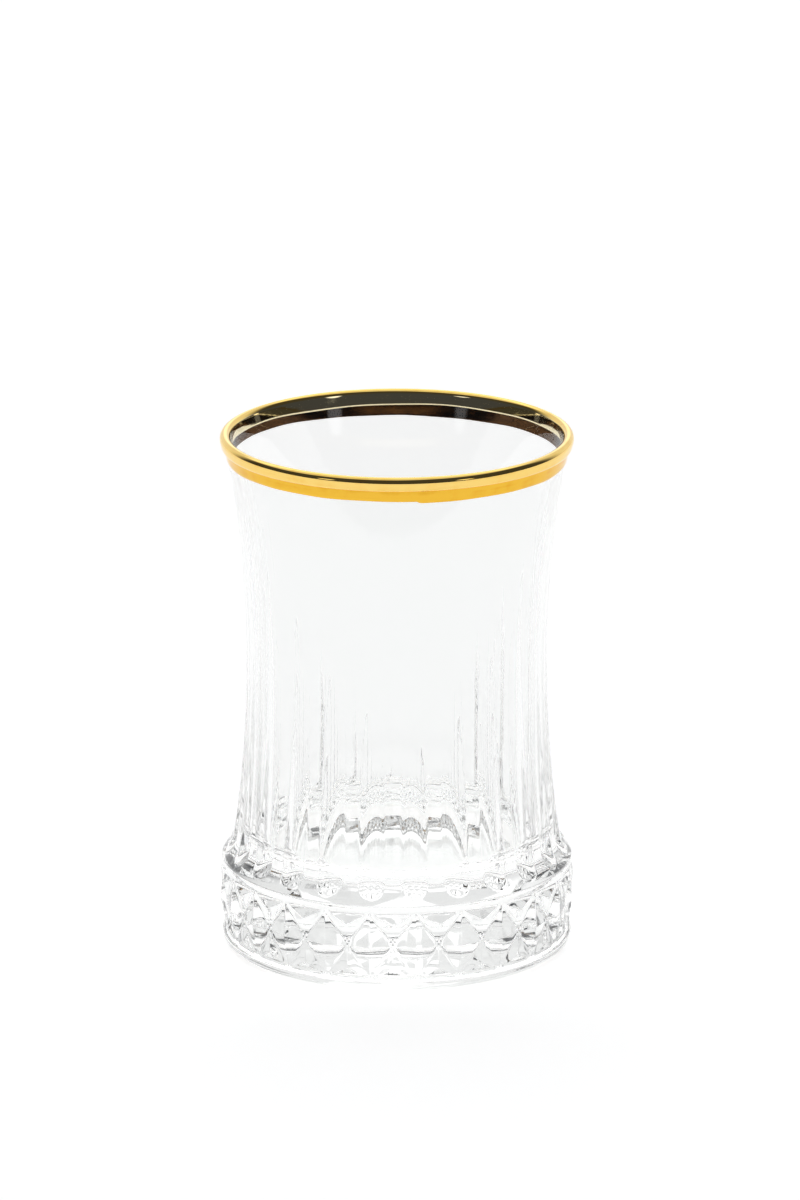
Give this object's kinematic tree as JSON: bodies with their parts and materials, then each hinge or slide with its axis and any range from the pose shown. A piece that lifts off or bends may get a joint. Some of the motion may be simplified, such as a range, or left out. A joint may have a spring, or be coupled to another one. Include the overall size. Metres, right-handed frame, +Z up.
{
  "type": "moroccan tea glass",
  "caption": "Waisted clear pressed-glass tea tumbler with pointed flutes, a heavy diamond-faceted foot and a rolled lip gilded with a fired gold edge and band.",
  "frame": {"origin": "on the table plane, on the axis of the glass", "axes": "+Z up along the axis from the foot to the mouth; -Y is the side the picture shows"},
  "size_m": [0.0628, 0.0628, 0.093],
  "materials": {
    "clear_glass": "fire-polished clear soda-lime glass",
    "lip_gold": "bright fired gold, mirror smooth over the bead",
    "band_gold": "bright fired gold, brushed on by hand"
  },
  "bodies": {
    "root": {"glass_body": "clear_glass", "gold_lip_line": "lip_gold", "gold_band": "band_gold"}
  },
  "joints": []
}
